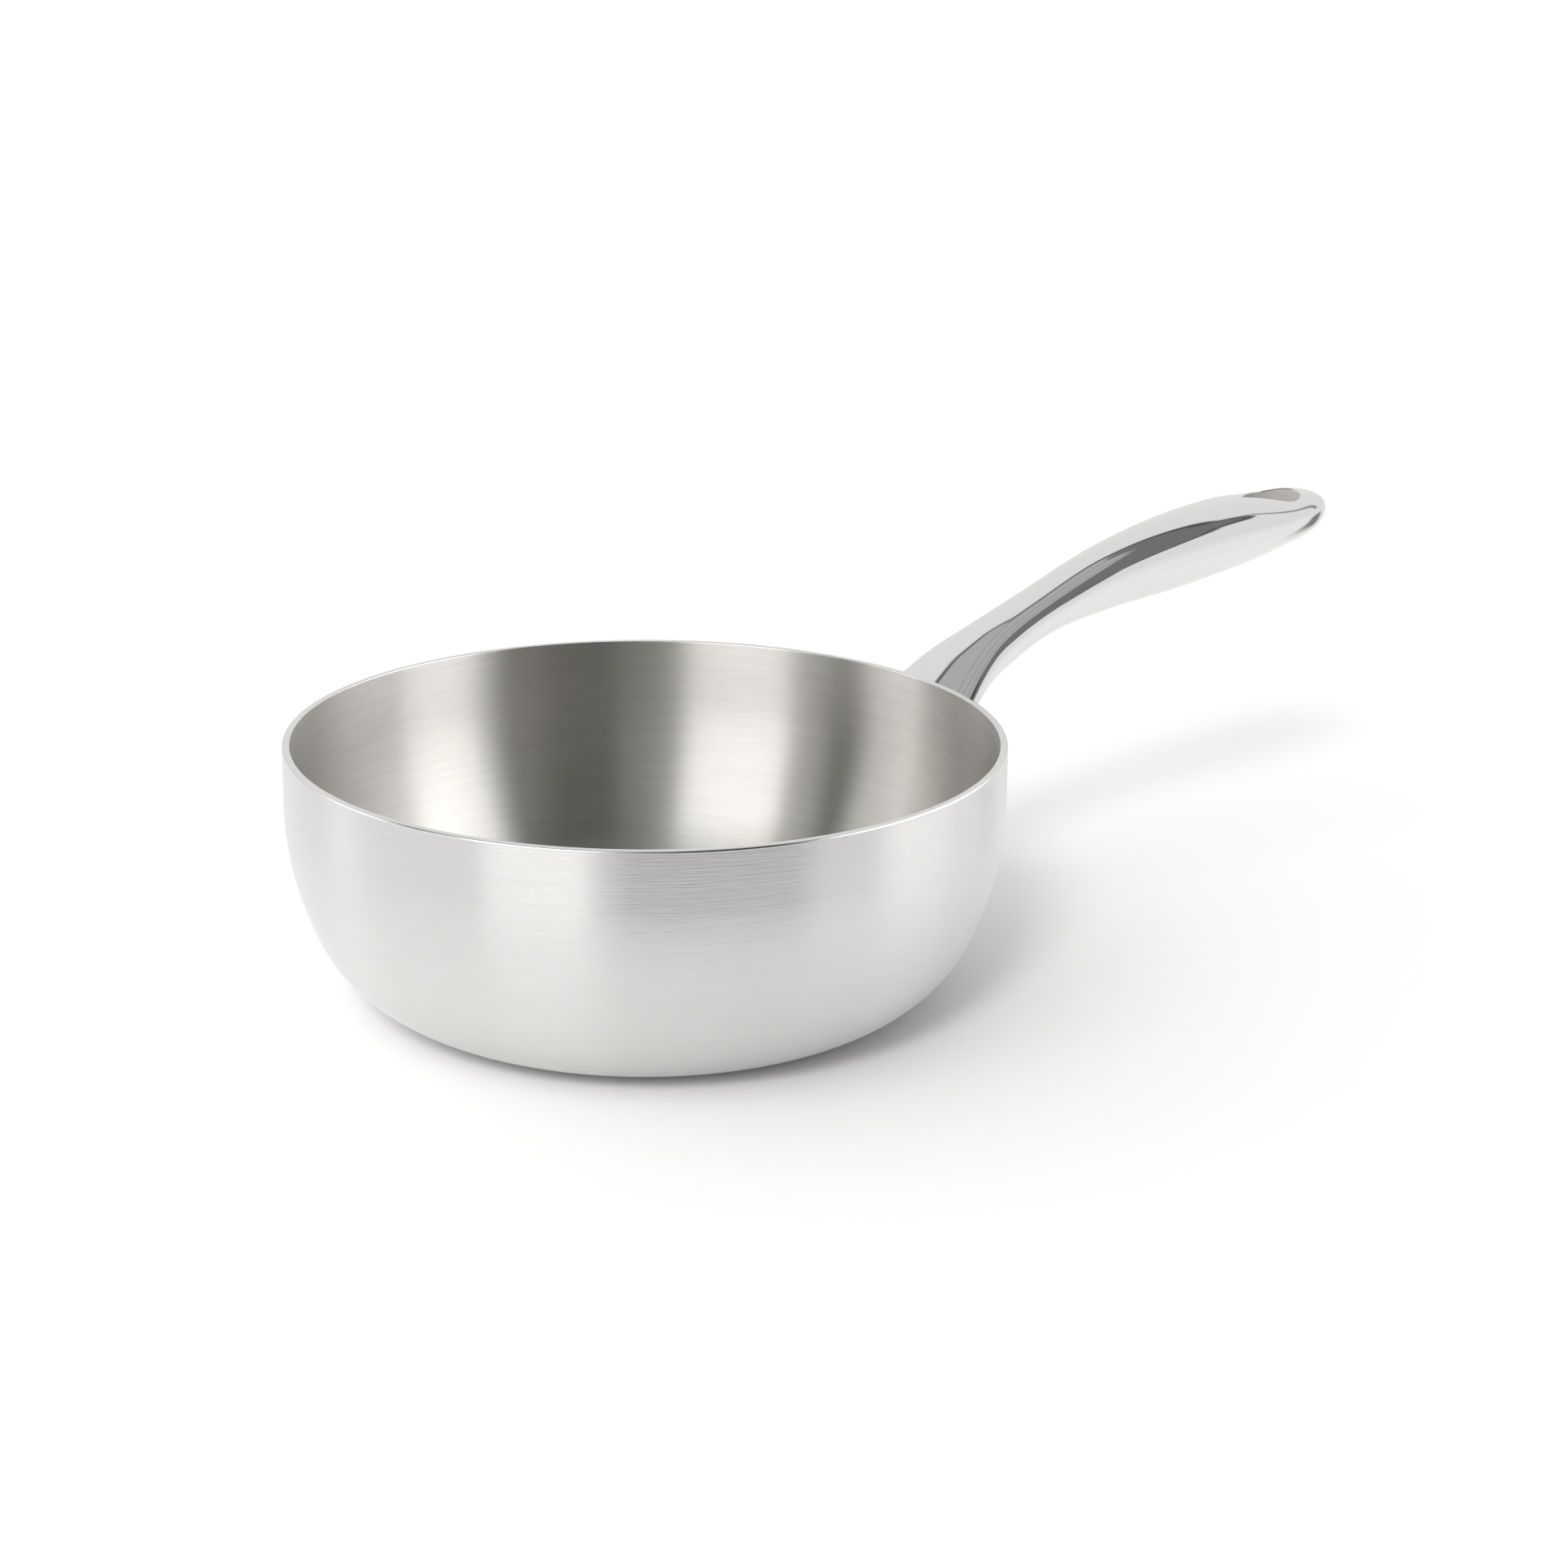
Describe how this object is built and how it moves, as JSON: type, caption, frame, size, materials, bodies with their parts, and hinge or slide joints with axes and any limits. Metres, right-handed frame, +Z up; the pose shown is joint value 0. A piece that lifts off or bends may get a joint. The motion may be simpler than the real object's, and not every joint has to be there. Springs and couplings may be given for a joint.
{
  "type": "saucier pan",
  "caption": "Round-bottomed open pan for sauces, with a flat base, a curved wall, a sealed rim and one long hollow handle with a teardrop hanging eye.",
  "frame": {"origin": "centre of the flat underside, on the surface that the pan stands on", "axes": "+Z up, out of the bowl's mouth; +X from the bowl's axis along the handle"},
  "size_m": [0.428, 0.24, 0.1361],
  "materials": {
    "liner_steel": "18/10 stainless, satin brushed round the bowl",
    "bond_aluminium": "pure aluminium sheet, sealed in the wall",
    "core_alloy": "aluminium alloy sheet, sealed in the wall",
    "skin_steel": "magnetic stainless, satin brushed round the bowl",
    "handle_steel": "investment-cast 18/10 stainless, mirror polished",
    "weld_steel": "stainless weld, blended smooth"
  },
  "bodies": {
    "root": {"cooking_liner": "liner_steel", "inner_bond_sheet": "bond_aluminium", "alloy_core": "core_alloy", "outer_bond_sheet": "bond_aluminium", "induction_skin": "skin_steel", "handle_casting": "handle_steel", "root_weld_bead": "weld_steel"}
  },
  "joints": []
}
